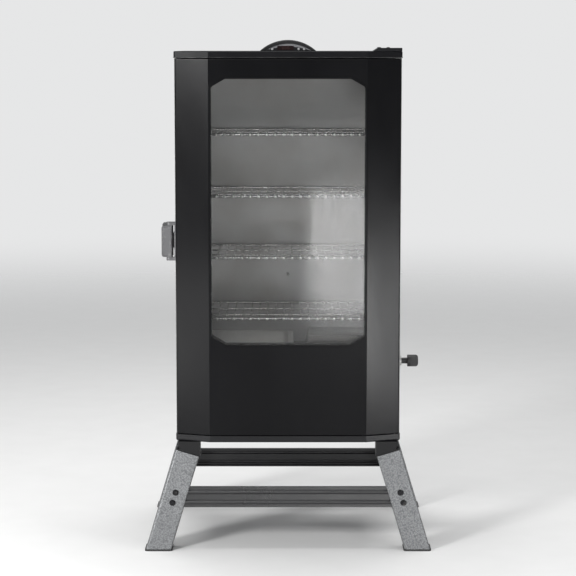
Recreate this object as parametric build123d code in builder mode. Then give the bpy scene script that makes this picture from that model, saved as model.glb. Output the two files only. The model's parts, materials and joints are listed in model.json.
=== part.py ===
from build123d import *
import math
import os

os.makedirs("parts", exist_ok=True)

# An electric cabinet smoker on a splayed stand, in millimetres.
# +Z is up, the door faces -Y, the floor is at Z 0 and the cabinet is centred on X 0.

# ---------------------------------------------------------------- driving dimensions
cabinet_width = 556
base_z = 270  # underside of the cabinet
top_z = 1230  # top of the cabinet
body_front = -187  # front of the face frame, behind the door
body_rear = 235  # back of the side panels
wall = 32  # outer skin, insulation and liner together
skirt = 16  # height of the base pan and of the top cap
sheet = 1.5  # painted steel
liner_sheet = 1.0  # stainless steel

door_front = -240
door_back = -191
door_edge_y = -212  # where an angled side of the door meets its edge
flat_half = 193  # half the width of the flat middle of the door
door_gap = 1.5  # above and below the door
hinge_radius = 12  # round edge of the door, about the hinge axis
window_width = 375
window_height = 650
window_middle_z = 838.5
window_clip = (35, 20)  # how much of each corner is cut off, across and down

leg_top_z = 250  # outer top corner of a leg
leg_top_x = 279
leg_top_y = 232
splay_x = 0.30  # sideways run for each unit of drop
splay_y = 0.105
leg_width = 64
leg_depth = 58
leg_sheet = 2
foot_height = 4
crossbar_z = 132
crossbar_height = 50

rack_levels = (562, 716, 870, 1024)
rack_half = 239
rack_front = -123
rack_rear = 197
rack_rod = 3  # radius of the rack's border rod
rack_wire = 1.8
rack_pitch = 21
rack_wires = 22

loader_y = -60
loader_z = 446
vent_y = 110
drain_y = 150
element_x = (110, 170)
element_z = 360

# ---------------------------------------------------------------- worked out from them
half_width = cabinet_width / 2
chamber_half = half_width - wall
chamber_floor = base_z + wall
chamber_top = top_z - wall
chamber_rear = body_rear - wall
skin_low = base_z + skirt
skin_high = top_z - skirt
door_low = skin_low + door_gap
door_high = skin_high - door_gap
door_half = half_width - 2
hinge_x = door_half - hinge_radius
hinge_y = door_back - hinge_radius
frame_back = body_front + 2
liner_outer = chamber_half + liner_sheet
skin_inner = half_width - sheet

AXIS_TURN = {"x": (0, 90, 0), "y": (90, 0, 0), "z": (0, 0, 0)}


# ---------------------------------------------------------------- helpers
def finish(piece, node):
    """Labels a finished piece and writes it as its own STEP file."""
    piece.part.label = node
    export_step(piece.part, f"parts/{node}.step")


def block(x_span, y_span, z_span, mode=Mode.ADD):
    """A box between two limits on each axis, in the part being built."""
    spans = (x_span, y_span, z_span)
    with Locations(tuple((low + high) / 2 for low, high in spans)):
        Box(*(abs(high - low) for low, high in spans), mode=mode)


def bar(axis, middle, length, radius, mode=Mode.ADD):
    """A round bar along one axis, in the part being built."""
    with Locations(middle):
        Cylinder(radius, length, rotation=AXIS_TURN[axis], mode=mode)


def cabinet_plan(inset=0):
    """The cabinet seen from above: square at the back, with angled sides at the front."""
    with BuildSketch() as plan:
        with BuildLine():
            Polyline(
                (-half_width, body_rear),
                (-half_width, door_edge_y),
                (-flat_half, door_front),
                (flat_half, door_front),
                (half_width, door_edge_y),
                (half_width, body_rear),
                close=True,
            )
        make_face()
        fillet(plan.vertices().group_by(Axis.Y)[1], 5)
        fillet(plan.vertices().group_by(Axis.Y)[0], 6)
        fillet(plan.vertices().group_by(Axis.Y)[-1], 10)
        if inset:
            offset(amount=-inset)
    return plan.sketch


def door_plan(inset=0):
    """The door seen from above, with its hinge edge rounded about the hinge axis."""
    with BuildSketch() as plan:
        with BuildLine():
            Polyline(
                (-door_half, door_back),
                (-door_half, door_edge_y),
                (-flat_half, door_front),
                (flat_half, door_front),
                (door_half, door_edge_y),
                (door_half, door_back),
                close=True,
            )
        make_face()
        fillet(plan.vertices().group_by(Axis.Y)[1], 5)
        fillet(plan.vertices().group_by(Axis.Y)[0], 6)
        fillet(plan.vertices().group_by(Axis.Y)[-1].sort_by(Axis.X)[-1], hinge_radius)
        if inset:
            offset(amount=-inset)
    return plan.sketch


def window_outline(grow=0):
    """The window's clipped rectangle, seen from the front, larger all round by grow."""
    half_w = window_width / 2
    half_h = window_height / 2
    clip_x, clip_z = window_clip
    low = window_middle_z - half_h
    high = window_middle_z + half_h
    with BuildSketch() as outline:
        with BuildLine():
            Polyline(
                (-half_w + clip_x, high),
                (half_w - clip_x, high),
                (half_w, high - clip_z),
                (half_w, low + clip_z),
                (half_w - clip_x, low),
                (-half_w + clip_x, low),
                (-half_w, low + clip_z),
                (-half_w, high - clip_z),
                close=True,
            )
        make_face()
        fillet(outline.vertices(), 8)
        if grow:
            offset(amount=grow)
    return outline.sketch


# ---------------------------------------------------------------- cabinet shell
def make_base_pan():
    lip = 12
    with BuildPart() as base_pan:
        with BuildSketch(Plane.XY.offset(base_z)):
            add(cabinet_plan())
        extrude(amount=skirt)
        fillet(base_pan.faces().sort_by(Axis.Z)[0].edges(), 4)
        with BuildSketch(Plane.XY.offset(base_z + sheet)):
            add(cabinet_plan(sheet))
        extrude(amount=skirt - 2 * sheet, mode=Mode.SUBTRACT)
        with BuildSketch(Plane.XY.offset(base_z)):
            add(cabinet_plan(sheet + lip))
        extrude(amount=sheet, mode=Mode.SUBTRACT)
        bar("z", (hinge_x, hinge_y, skin_low), 10, 4.5, Mode.SUBTRACT)
        bar("z", (0, drain_y, skin_low), 10, 10.3, Mode.SUBTRACT)
    finish(base_pan, "base_pan")


def make_top_cap():
    with BuildPart() as top_cap:
        with BuildSketch(Plane.XY.offset(skin_high)):
            add(cabinet_plan())
        extrude(amount=skirt)
        fillet(top_cap.faces().sort_by(Axis.Z)[-1].edges(), 2.5)
        with BuildSketch(Plane.XY.offset(skin_high)):
            add(cabinet_plan(sheet))
        extrude(amount=skirt - sheet, mode=Mode.SUBTRACT)
        bar("z", (hinge_x, hinge_y, top_z), 10, 4.5, Mode.SUBTRACT)
        bar("z", (0, vent_y, top_z), 10, 31.3, Mode.SUBTRACT)
    finish(top_cap, "top_cap")


def make_side_panels():
    """Each side panel is bent round the rear corner to carry the rear panel."""
    for side, node in ((-1, "left_side_panel"), (1, "right_side_panel")):
        middle_x = side * (half_width - sheet / 2)
        with BuildPart() as side_panel:
            with BuildSketch(Plane.XY.offset(skin_low)):
                with BuildLine():
                    FilletPolyline(
                        (middle_x, frame_back),
                        (middle_x, body_rear - sheet / 2),
                        (side * (half_width - 30), body_rear - sheet / 2),
                        radius=9,
                    )
                trace(line_width=sheet)
            extrude(amount=skin_high - skin_low)
            if side > 0:
                bar("x", (half_width, loader_y, loader_z), 10, 34.8, Mode.SUBTRACT)
        finish(side_panel, node)


def make_rear_panel():
    thick = 1.2
    with BuildPart() as rear_panel:
        block((-272, 272), (body_rear, body_rear + thick), (292, 1208))
        fillet(rear_panel.edges().filter_by(Axis.Y), 6)
        with BuildSketch(Plane.XZ.offset(-body_rear - thick)):
            with GridLocations(0, 190, 1, 4):
                with Locations((0, 770)):
                    SlotOverall(400, 22)
        extrude(amount=-2.4, taper=30)
        for x in element_x:
            bar("y", (x, body_rear, element_z), 10, 4.3, Mode.SUBTRACT)
    finish(rear_panel, "rear_panel")


def make_face_frame():
    with BuildPart() as face_frame:
        block((-half_width, half_width), (body_front, frame_back), (skin_low, skin_high))
        opening = (chamber_floor, chamber_top)
        block((-chamber_half, chamber_half), (body_front - 1, frame_back + 1), opening, Mode.SUBTRACT)
    finish(face_frame, "face_frame")


# ---------------------------------------------------------------- liner and insulation
def make_liner():
    full_y = (frame_back, chamber_rear + liner_sheet)
    full_x = (-liner_outer, liner_outer)
    full_z = (chamber_floor, chamber_top)
    with BuildPart() as liner_left:
        block((-liner_outer, -chamber_half), (frame_back, chamber_rear), full_z)
    finish(liner_left, "liner_left")

    with BuildPart() as liner_right:
        block((chamber_half, liner_outer), (frame_back, chamber_rear), full_z)
        bar("x", (chamber_half, loader_y, loader_z), 10, 34.8, Mode.SUBTRACT)
    finish(liner_right, "liner_right")

    with BuildPart() as liner_rear:
        block(full_x, (chamber_rear, chamber_rear + liner_sheet), full_z)
        for x in element_x:
            bar("y", (x, chamber_rear, element_z), 10, 4.3, Mode.SUBTRACT)
        bar("y", (0, chamber_rear, 640), 10, 3.2, Mode.SUBTRACT)
    finish(liner_rear, "liner_rear")

    with BuildPart() as liner_top:
        block(full_x, full_y, (chamber_top, chamber_top + liner_sheet))
        bar("z", (0, vent_y, chamber_top), 10, 31.3, Mode.SUBTRACT)
    finish(liner_top, "liner_top")

    with BuildPart() as liner_floor:
        block(full_x, full_y, (chamber_floor - liner_sheet, chamber_floor))
        bar("z", (0, drain_y, chamber_floor - 15), 30, 10)
        bar("z", (0, drain_y, chamber_floor - 15), 32, 9, Mode.SUBTRACT)
    finish(liner_floor, "liner_floor")


def make_wall_insulation():
    """Five separate slabs between the outer skin and the liner."""
    slab_y = (frame_back + 0.2, 224)
    slab_z = (chamber_floor, chamber_top)
    with BuildPart() as wall_insulation:
        block((-skin_inner + 0.2, -liner_outer), slab_y, slab_z)
        block((liner_outer, skin_inner - 0.2), slab_y, slab_z)
        bar("x", (262, loader_y, loader_z), 40, 34.8, Mode.SUBTRACT)
        block((-liner_outer + 1, liner_outer - 1), (chamber_rear + liner_sheet, 233), slab_z)
        for x in element_x:
            bar("y", (x, 218, element_z), 40, 4.3, Mode.SUBTRACT)
        bar("y", (0, 210, 640), 20, 3.2, Mode.SUBTRACT)
        block((-270, 270), slab_y, (chamber_top + liner_sheet, top_z - sheet))
        bar("z", (0, vent_y, 1214), 40, 31.3, Mode.SUBTRACT)
        block((-270, 270), slab_y, (skin_low, chamber_floor - liner_sheet))
        bar("z", (0, drain_y, 290), 40, 10.3, Mode.SUBTRACT)
    finish(wall_insulation, "wall_insulation")


# ---------------------------------------------------------------- chamber fittings
def make_rack_rails():
    """Folded ledges on both walls: one pair for each rack, and one ledge for the water pan."""
    ledge = 17
    drop = 14
    ledges = [(side, level - rack_rod - 0.3) for side in (-1, 1) for level in rack_levels]
    ledges.append((-1, 485))
    with BuildPart() as rack_rails:
        for side, top in ledges:
            wall_x = side * chamber_half
            with BuildSketch(Plane.XZ.offset(150)):
                with BuildLine():
                    Polyline(
                        (wall_x, top),
                        (wall_x - side * ledge, top),
                        (wall_x - side * ledge, top - sheet),
                        (wall_x - side * sheet, top - sheet),
                        (wall_x - side * sheet, top - drop),
                        (wall_x, top - drop),
                        close=True,
                    )
                make_face()
            extrude(amount=-350)
    finish(rack_rails, "rack_rails")


def make_racks():
    """A border rod, wires from front to back, and two cross rods under the wires."""
    inner = rack_half - rack_rod
    front = rack_front + rack_rod
    rear = rack_rear - rack_rod
    for count, level in enumerate(rack_levels, start=1):
        with BuildPart() as rack:
            with BuildLine(Plane.XY.offset(level)) as border:
                FilletPolyline(
                    (inner, front), (inner, rear), (-inner, rear), (-inner, front), radius=14, close=True
                )
            with BuildSketch(Plane(origin=border.line @ 0, z_dir=border.line % 0)):
                Circle(rack_rod)
            sweep(path=border.line)
            with GridLocations(rack_pitch, 1, rack_wires, 1):
                with Locations((0, (front + rear) / 2, level)):
                    Cylinder(rack_wire, rear - front, rotation=AXIS_TURN["y"])
            for y in (front + 100, rear - 100):
                bar("x", (0, y, level - 3.4), 2 * 221.5, 2.4)
        finish(rack, f"rack_{count}")


def make_pan(node, x_span, y_span, z_span, rim, thick=1.0):
    """An open tray with a flat rim. Its spans are those of the bowl outside."""
    x_low, x_high = x_span
    y_low, y_high = y_span
    z_high = z_span[1]
    with BuildPart() as pan:
        block(x_span, y_span, z_span)
        fillet(pan.edges().filter_by(Axis.Z), 14)
        fillet(pan.faces().sort_by(Axis.Z)[0].edges(), 6)
        offset(amount=-thick, openings=pan.faces().sort_by(Axis.Z)[-1])
        with BuildSketch(Plane.XY.offset(z_high - thick)):
            with Locations(((x_low + x_high) / 2, (y_low + y_high) / 2)):
                RectangleRounded(x_high - x_low + 2 * rim, y_high - y_low + 2 * rim, 14 + rim)
                RectangleRounded(x_high - x_low - thick, y_high - y_low - thick, 13.5, mode=Mode.SUBTRACT)
        extrude(amount=thick)
    finish(pan, node)


def make_pans():
    make_pan("water_pan", (-226, 2), (-115, 185), (425, 486.3), rim=12)
    make_pan("drip_pan", (-214, 214), (-113, 187), (chamber_floor + 0.3, 326), rim=9)
    make_pan("chip_tray", (72, 214), (-120, -2), (389.7, 409), rim=5)
    make_pan("grease_tray", (-90, 90), (78, 218), (222, 265), rim=12)


def make_chip_housing():
    """A hood over the wood chips, with a slanted side and the water pan's right-hand ledge."""
    front, rear = -130, 12
    low, high = 384, 522
    slope = (22, 52)  # inner X of the slanted side at the bottom and at the top
    with BuildPart() as chip_housing:
        with BuildSketch(Plane.XZ.offset(-front)):
            with BuildLine():
                Polyline((slope[0], low), (235, low), (235, high), (slope[1], high), close=True)
            make_face()
        extrude(amount=-(rear - front))
        with BuildSketch(Plane.XZ.offset(-front - sheet)):
            with BuildLine():
                Polyline(
                    (slope[0] + 2, low - 1),
                    (235 - sheet, low - 1),
                    (235 - sheet, high - sheet),
                    (slope[1] + 1.2, high - sheet),
                    close=True,
                )
            make_face()
        extrude(amount=-(rear - front - 2 * sheet), mode=Mode.SUBTRACT)
        block((slope[0] + 8, 233), (front - 1, front + 3), (low - 1, 418), Mode.SUBTRACT)
        bar("x", (235, loader_y, loader_z), 10, 34.8, Mode.SUBTRACT)
        block((235, chamber_half), (front + 20, rear - 20), (high - sheet, high))
        block((chamber_half - sheet, chamber_half), (front + 20, rear - 20), (485, high))
        with BuildSketch(Plane.XZ.offset(-front)):
            with BuildLine():
                Polyline((5, 485), (48, 485), (48, 483.5), (5, 483.5), close=True)
            make_face()
        extrude(amount=-(rear - front))
        for x_span in ((208, 234), (24, 78)):
            block(x_span, (front + 2, rear - 2), (388.2, 389.4))
    finish(chip_housing, "chip_housing")


def make_heating_element():
    """A sheathed heater loop that enters through the rear wall."""
    front = -80
    left, right = element_x
    tail_end = 246
    with BuildPart() as heating_element:
        with BuildLine() as loop:
            FilletPolyline(
                (left, tail_end, element_z),
                (left, front, element_z),
                (right, front, element_z),
                (right, tail_end, element_z),
                radius=26,
            )
        with BuildSketch(Plane(origin=loop.line @ 0, z_dir=loop.line % 0)):
            Circle(4)
        sweep(path=loop.line)
        block((left - 22, right + 22), (200, chamber_rear), (element_z - 18, element_z + 18))
        fillet(heating_element.edges().filter_by(Axis.Y).group_by(Axis.X)[0], 6)
        fillet(heating_element.edges().filter_by(Axis.Y).group_by(Axis.X)[-1], 6)
    finish(heating_element, "heating_element")


def make_temperature_probe():
    with BuildPart() as temperature_probe:
        bar("y", (0, 182, 640), 42, 3)
        bar("y", (0, 201.5, 640), 3, 11)
        bar("y", (0, 208, 640), 10, 3)
        fillet(temperature_probe.faces().sort_by(Axis.Y)[0].edges(), 2.5)
    finish(temperature_probe, "temperature_probe")


# ---------------------------------------------------------------- chip loader, on the right side
def make_loader_sleeve():
    with BuildPart() as loader_sleeve:
        bar("x", (256, loader_y, loader_z), 48, 34.5)
        bar("x", (279, loader_y, loader_z), 2, 48)
        bar("x", (256, loader_y, loader_z), 60, 33, Mode.SUBTRACT)
    finish(loader_sleeve, "loader_sleeve")


def make_loader_cover():
    """The round cover that the cup turns in and pulls out with."""
    with BuildPart() as loader_cover:
        bar("x", (282.4, loader_y, loader_z), 4, 38)
        fillet(loader_cover.faces().sort_by(Axis.X)[-1].edges(), 2)
        bar("x", (278.4, loader_y, loader_z), 4, 32.5)
        bar("x", (286.6, loader_y, loader_z), 4.4, 12)
        bar("x", (282, loader_y, loader_z), 30, 5.06, Mode.SUBTRACT)
    finish(loader_cover, "loader_cover")


def make_loader_cup():
    """A half-round scoop for wood chips, with its shaft and its knob outside."""
    scoop = (66, 268)
    length = scoop[1] - scoop[0]
    middle = (scoop[0] + scoop[1]) / 2
    with BuildPart() as loader_cup:
        bar("x", (middle, loader_y, loader_z), length, 31)
        bar("x", (middle, loader_y, loader_z), length - 3, 29.8, Mode.SUBTRACT)
        block(scoop, (loader_y - 40, loader_y + 40), (loader_z + 4, loader_z + 40), Mode.SUBTRACT)
        bar("x", (269.5, loader_y, loader_z), 3, 31)
        bar("x", (285, loader_y, loader_z), 30, 5)
        bar("x", (297.5, loader_y, loader_z), 16.8, 7.5)
        bar("x", (318, loader_y, loader_z), 27, 15)
        fillet(loader_cup.faces().sort_by(Axis.X)[-1].edges(), 6)
        for side in (-1, 1):
            cut = (loader_y + side * 9, loader_y + side * 20)
            block((312, 335), cut, (loader_z - 20, loader_z + 20), Mode.SUBTRACT)
    finish(loader_cup, "loader_cup")


# ---------------------------------------------------------------- rear fittings
def make_element_cover():
    thick = 1.2
    back = body_rear + thick
    x_span, z_span = (62, 218), (318, 418)
    with BuildPart() as element_cover:
        block(x_span, (back, 252), z_span)
        fillet(element_cover.edges().filter_by(Axis.Y), 8)
        fillet(element_cover.faces().sort_by(Axis.Y)[-1].edges(), 4)
        inner_x = (x_span[0] + thick, x_span[1] - thick)
        inner_z = (z_span[0] + thick, z_span[1] - thick)
        block(inner_x, (back - 1, 252 - thick), inner_z, Mode.SUBTRACT)
        block((x_span[0] - 10, x_span[0] + 4), (back, back + thick), (330, 406))
        block((x_span[1] - 4, x_span[1] + 10), (back, back + thick), (330, 406))
        block((176, 204), (245, 260), (380, 400), Mode.SUBTRACT)
    finish(element_cover, "element_cover")


def make_power_inlet():
    """A recessed socket for a detachable mains lead."""
    with BuildPart() as power_inlet:
        block((176.2, 203.8), (238, 252), (380.2, 399.8))
        block((172, 208), (252, 254), (375, 405))
        fillet(power_inlet.faces().sort_by(Axis.Y)[-1].edges().filter_by(Axis.X), 0.8)
        block((179, 201), (241, 256), (383, 397), Mode.SUBTRACT)
    finish(power_inlet, "power_inlet")


def make_grease_rails():
    with BuildPart() as grease_rails:
        for side in (-1, 1):
            with BuildSketch(Plane.XZ.offset(-68)):
                with BuildLine():
                    Polyline(
                        (side * 116, skin_low - sheet),
                        (side * 105, skin_low - sheet),
                        (side * 105, skin_low - 2 * sheet),
                        (side * 114.5, skin_low - 2 * sheet),
                        (side * 114.5, 263.7),
                        (side * 95, 263.7),
                        (side * 95, 262.2),
                        (side * 116, 262.2),
                        close=True,
                    )
                make_face()
            extrude(amount=-145)
    finish(grease_rails, "grease_rails")


# ---------------------------------------------------------------- top fittings
def make_vent():
    hole_ring = 17.5
    flange_top = top_z + 1.5
    with BuildPart() as vent_tube:
        bar("z", (0, vent_y, 1213.5), 33, 31)
        bar("z", (0, vent_y, top_z + 0.75), 1.5, 44)
        bar("z", (0, vent_y, 1211.5), 34, 29.8, Mode.SUBTRACT)
        with Locations((0, vent_y, flange_top)):
            with PolarLocations(hole_ring, 4):
                Cylinder(9.5, 20, mode=Mode.SUBTRACT)
        bar("z", (0, vent_y, flange_top + 1.4), 2.8, 3)
        bar("z", (0, vent_y, flange_top + 3.4), 1.6, 6)
    finish(vent_tube, "vent_tube")

    with BuildPart() as vent_damper:
        bar("z", (0, vent_y, flange_top + 1.3), 2, 34)
        with Locations((0, vent_y, flange_top)):
            with PolarLocations(hole_ring, 4):
                Cylinder(9.5, 20, mode=Mode.SUBTRACT)
        bar("z", (0, vent_y, flange_top), 20, 3.06, Mode.SUBTRACT)
        block((26, 50), (vent_y - 6, vent_y + 6), (flange_top + 1.3, flange_top + 2.3))
        block((48.5, 50), (vent_y - 6, vent_y + 6), (flange_top + 1.3, flange_top + 10))
    finish(vent_damper, "vent_damper")


def arch_face(chord, rise, low):
    """A circle's segment standing on a level line, seen from the front."""
    with BuildSketch() as arch:
        with BuildLine():
            ThreePointArc((-chord / 2, low), (0, low + rise), (chord / 2, low))
            Line((chord / 2, low), (-chord / 2, low))
        make_face()
    return arch.sketch


pod_front = -214
pod_chord = 138
pod_rise = 27
pod_inner = (118, 18)  # chord and rise of the opening in the pod's face
button_spots = {"button_power": -38, "button_down": 26, "button_up": 39}


def make_control_pod():
    depth = 112
    shell = 2.5
    with BuildPart() as control_housing:
        with BuildSketch(Plane.XZ.offset(-pod_front)):
            add(arch_face(pod_chord, pod_rise, top_z))
        extrude(amount=-depth)
        fillet(control_housing.faces().sort_by(Axis.Y)[-1].edges().sort_by(Axis.Z)[-1], 8)
        chamfer(control_housing.faces().sort_by(Axis.Y)[0].edges().sort_by(Axis.Z)[-1], 2.5)
        with BuildSketch(Plane.XZ.offset(-pod_front - 8)):
            add(arch_face(pod_chord - 14, pod_rise - shell, top_z))
        extrude(amount=-(depth - 18), mode=Mode.SUBTRACT)
        with BuildSketch(Plane.XZ.offset(-pod_front)):
            add(arch_face(*pod_inner, top_z))
        extrude(amount=-9, mode=Mode.SUBTRACT)
    finish(control_housing, "control_housing")

    fascia_y = pod_front + 4
    with BuildPart() as control_fascia:
        with BuildSketch(Plane.XZ.offset(-fascia_y)):
            add(arch_face(pod_inner[0] - 2, pod_inner[1] - 0.3, top_z + 0.1))
        extrude(amount=-2)
        for x in button_spots.values():
            bar("y", (x, fascia_y, top_z + 5.2), 10, 3.3, Mode.SUBTRACT)
        block((-26, 14), (fascia_y - 1, fascia_y + 1), (top_z + 2.5, top_z + 13), Mode.SUBTRACT)
    finish(control_fascia, "control_fascia")

    with BuildPart() as display_lens:
        block((-25.9, 13.9), (fascia_y - 0.6, fascia_y + 1), (top_z + 2.6, top_z + 12.9))
        fillet(display_lens.faces().sort_by(Axis.Y)[0].edges(), 0.4)
    finish(display_lens, "display_lens")

    for node, x in button_spots.items():
        with BuildPart() as button:
            bar("y", (x, fascia_y + 0.6, top_z + 5.2), 5.2, 2.9)
            bar("y", (x, fascia_y + 3.4, top_z + 5.2), 0.8, 4.2)
            fillet(button.faces().sort_by(Axis.Y)[0].edges(), 0.8)
        finish(button, node)

    with BuildPart() as circuit_board:
        block((-52, 52), (-196, -132), (top_z + 1.2, top_z + 2.8))
        block((-24, 12), (-204, -186), (top_z + 2.8, top_z + 11))
        block((-40, -20), (-170, -145), (top_z + 2.8, top_z + 14))
        block((6, 30), (-168, -150), (top_z + 2.8, top_z + 12))
    finish(circuit_board, "circuit_board")


# ---------------------------------------------------------------- door
def make_door_skin():
    height = door_high - door_low
    inside_z = (door_low + sheet, door_high - sheet)
    with BuildPart() as door_skin:
        with BuildSketch(Plane.XY.offset(door_low)):
            add(door_plan())
        extrude(amount=height)
        fillet(door_skin.faces().sort_by(Axis.Z)[-1].edges(), 2)
        fillet(door_skin.faces().sort_by(Axis.Z)[0].edges(), 2)
        with BuildSketch(Plane.XY.offset(inside_z[0])):
            add(door_plan(sheet))
        extrude(amount=inside_z[1] - inside_z[0], mode=Mode.SUBTRACT)
        block((-266, hinge_x), (door_back - 3, door_back + 1), inside_z, Mode.SUBTRACT)
        with BuildSketch(Plane.XZ.offset(-door_front + 1)):
            add(window_outline(2.2))
        extrude(amount=-8, mode=Mode.SUBTRACT)
        for z in (door_low, door_high):
            bar("z", (hinge_x, hinge_y, z), 10, 4.4, Mode.SUBTRACT)
    finish(door_skin, "door_skin")


liner_y = -196  # back of the door's liner


def make_door_liner():
    with BuildPart() as door_liner:
        block((-271, 267), (liner_y - 1.2, liner_y), (door_low + 1.8, door_high - 1.8))
        fillet(door_liner.edges().filter_by(Axis.Y), 3)
        for z in (door_low, door_high):
            block((255, 270), (liner_y - 3, liner_y + 1), (z - 28, z + 28), Mode.SUBTRACT)
        with BuildSketch(Plane.XZ.offset(-liner_y + 2)):
            add(window_outline())
        extrude(amount=-4, mode=Mode.SUBTRACT)
    finish(door_liner, "door_liner")


def make_door_insulation():
    with BuildPart() as door_insulation:
        with BuildSketch(Plane.XY.offset(door_low + sheet + 0.2)):
            add(door_plan(sheet + 0.3))
        extrude(amount=door_high - door_low - 2 * sheet - 0.4)
        block((-280, 250), (door_front, liner_y - 1.3), (door_low, door_high), Mode.INTERSECT)
        with BuildSketch(Plane.XZ.offset(-door_front)):
            add(window_outline(2.5))
        extrude(amount=-50, mode=Mode.SUBTRACT)
    finish(door_insulation, "door_insulation")


def make_door_seal():
    width = 10
    outer_x = 261
    outer_z = (skin_low + 4.5, skin_high - 4.5)
    height = outer_z[1] - outer_z[0]
    middle = (outer_z[0] + outer_z[1]) / 2
    depth = body_front - 0.3 - liner_y
    with BuildPart() as door_seal:
        with BuildSketch(Plane.XZ.offset(-liner_y)):
            with Locations((0, middle)):
                RectangleRounded(2 * outer_x, height, 14)
                RectangleRounded(2 * (outer_x - width), height - 2 * width, 5, mode=Mode.SUBTRACT)
        extrude(amount=-depth)
        fillet(door_seal.faces().sort_by(Axis.Y)[-1].edges(), 3.5)
    finish(door_seal, "door_seal")


def make_window():
    sleeve = 2
    flange = 5
    proud = 1.5
    with BuildPart() as window_frame:
        with BuildSketch(Plane.XZ.offset(-door_front + proud)):
            add(window_outline(flange))
        extrude(amount=-proud)
        fillet(window_frame.faces().sort_by(Axis.Y)[0].edges(), 1)
        with BuildSketch(Plane.XZ.offset(-door_front)):
            add(window_outline(sleeve))
        extrude(amount=door_front - liner_y + 1.2)
        with BuildSketch(Plane.XZ.offset(-door_front + 5)):
            add(window_outline())
        extrude(amount=-60, mode=Mode.SUBTRACT)
    finish(window_frame, "window_frame")

    with BuildPart() as door_glass:
        for front in (-236, -203):
            with BuildSketch(Plane.XZ.offset(-front)):
                add(window_outline(-0.2))
            extrude(amount=-4)
    finish(door_glass, "door_glass")


def make_hinges():
    """The door turns on two pins, one in each bracket, which run in bushes inside the door."""
    pin = 4
    with BuildPart() as hinge_brackets:
        with BuildSketch(Plane.XZ.offset(150)):
            with BuildLine():
                Polyline((206, top_z), (half_width, top_z), (half_width, 1238), (219, 1238), close=True)
            make_face()
        extrude(amount=90)
        with BuildSketch(Plane.XY.offset(top_z)):
            add(cabinet_plan(0.5))
        extrude(amount=8, mode=Mode.INTERSECT)
        fillet(hinge_brackets.faces().sort_by(Axis.Z)[-1].edges(), 1.5)
        block((206, 272), (-210, -160), (skin_low - sheet - 5, skin_low - sheet))
        bar("z", (hinge_x, hinge_y, skin_low), 30, pin + 0.02, Mode.SUBTRACT)
        bar("z", (hinge_x, hinge_y, top_z), 12, pin + 0.02, Mode.SUBTRACT)
    finish(hinge_brackets, "hinge_brackets")

    with BuildPart() as hinge_pins:
        bar("z", (hinge_x, hinge_y, (door_high - 22 + top_z + 6) / 2), top_z + 6 - door_high + 22, pin)
        low = skin_low - sheet - 5
        bar("z", (hinge_x, hinge_y, (low + door_low + 22) / 2), door_low + 22 - low, pin)
        chamfer(hinge_pins.edges().filter_by(GeomType.CIRCLE), 0.5)
    finish(hinge_pins, "hinge_pins")

    with BuildPart() as hinge_bushes:
        for z in (door_low + sheet + 12, door_high - sheet - 12):
            bar("z", (hinge_x, hinge_y, z), 24, 7.5)
            bar("z", (hinge_x, hinge_y, z), 30, pin + 0.06, Mode.SUBTRACT)
    finish(hinge_bushes, "hinge_bushes")


# ---------------------------------------------------------------- latch, on the left side
latch_pivot = (-291, -201)
latch_z = (719, 814)
knuckle = 8


def make_latch():
    pivot_x, pivot_y = latch_pivot
    low, high = latch_z
    with BuildPart() as latch_bracket:
        block((-door_half - 3, -door_half), (-209, -193), latch_z)
        for z in (low, high - knuckle):
            with BuildSketch(Plane.XY.offset(z)):
                with Locations(latch_pivot):
                    Circle(8)
                with BuildLine():
                    Polyline(
                        (pivot_x, pivot_y - 8), (-door_half - 1, -209),
                        (-door_half - 1, -193), (pivot_x, pivot_y + 8), close=True,
                    )
                make_face()
            extrude(amount=knuckle)
        bar("z", (pivot_x, pivot_y, (low + high) / 2), 110, 3.5, Mode.SUBTRACT)
        bar("z", (pivot_x, pivot_y, (low + high) / 2), high - low, 3.45)
        fillet(latch_bracket.faces().sort_by(Axis.Z)[-1].edges().sort_by(Axis.X)[0], 1.5)
    finish(latch_bracket, "latch_bracket")

    with BuildPart() as latch_lever:
        with BuildSketch(Plane.XY.offset(low + knuckle + 0.3)) as profile:
            with BuildLine():
                Polyline(
                    (-296, -208), (-306, -196), (-310, -180), (-310, -122), (-304, -122),
                    (-300, -154), (-284, -160), (-284, -168), (-297, -174), (-286, -195),
                    close=True,
                )
            make_face()
            fillet(profile.vertices(), 2.4)
            with Locations(latch_pivot):
                Circle(7.5)
        extrude(amount=high - low - 2 * knuckle - 0.6)
        bar("z", (pivot_x, pivot_y, (low + high) / 2), 110, 3.51, Mode.SUBTRACT)
    finish(latch_lever, "latch_lever")

    with BuildPart() as latch_keeper:
        block((-half_width - 3, -half_width), (-184, -148), (742, 791))
        fillet(latch_keeper.edges().filter_by(Axis.X), 4)
        with BuildSketch(Plane.XY.offset(748)):
            with BuildLine():
                Polyline((-281, -182), (-283.5, -176), (-283.5, -172), (-281, -170), close=True)
            make_face()
        extrude(amount=37)
    finish(latch_keeper, "latch_keeper")


# ---------------------------------------------------------------- stand
def leg_outer_x(z):
    return leg_top_x + splay_x * (leg_top_z - z)


def leg_face_y(z):
    return leg_top_y + splay_y * (leg_top_z - z)


def behind_face(end, depth, z):
    """A point of the Y-Z plane, a depth behind the inside of a leg's face."""
    return (end * (leg_face_y(z) - leg_sheet - depth), z)


def leg_face_plane(side, end, z):
    """A plane on a leg's outer face, on the leg's centre line at height z, facing outwards."""
    x = side * (leg_outer_x(z) - leg_width / 2)
    return Plane(origin=(x, end * leg_face_y(z), z), x_dir=(1, 0, 0), z_dir=(0, end, splay_y))


bolt_heights = (crossbar_z - 12.5, crossbar_z + 12.5)
corners = {
    "front_left": (-1, -1),
    "front_right": (1, -1),
    "rear_left": (-1, 1),
    "rear_right": (1, 1),
}


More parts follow.
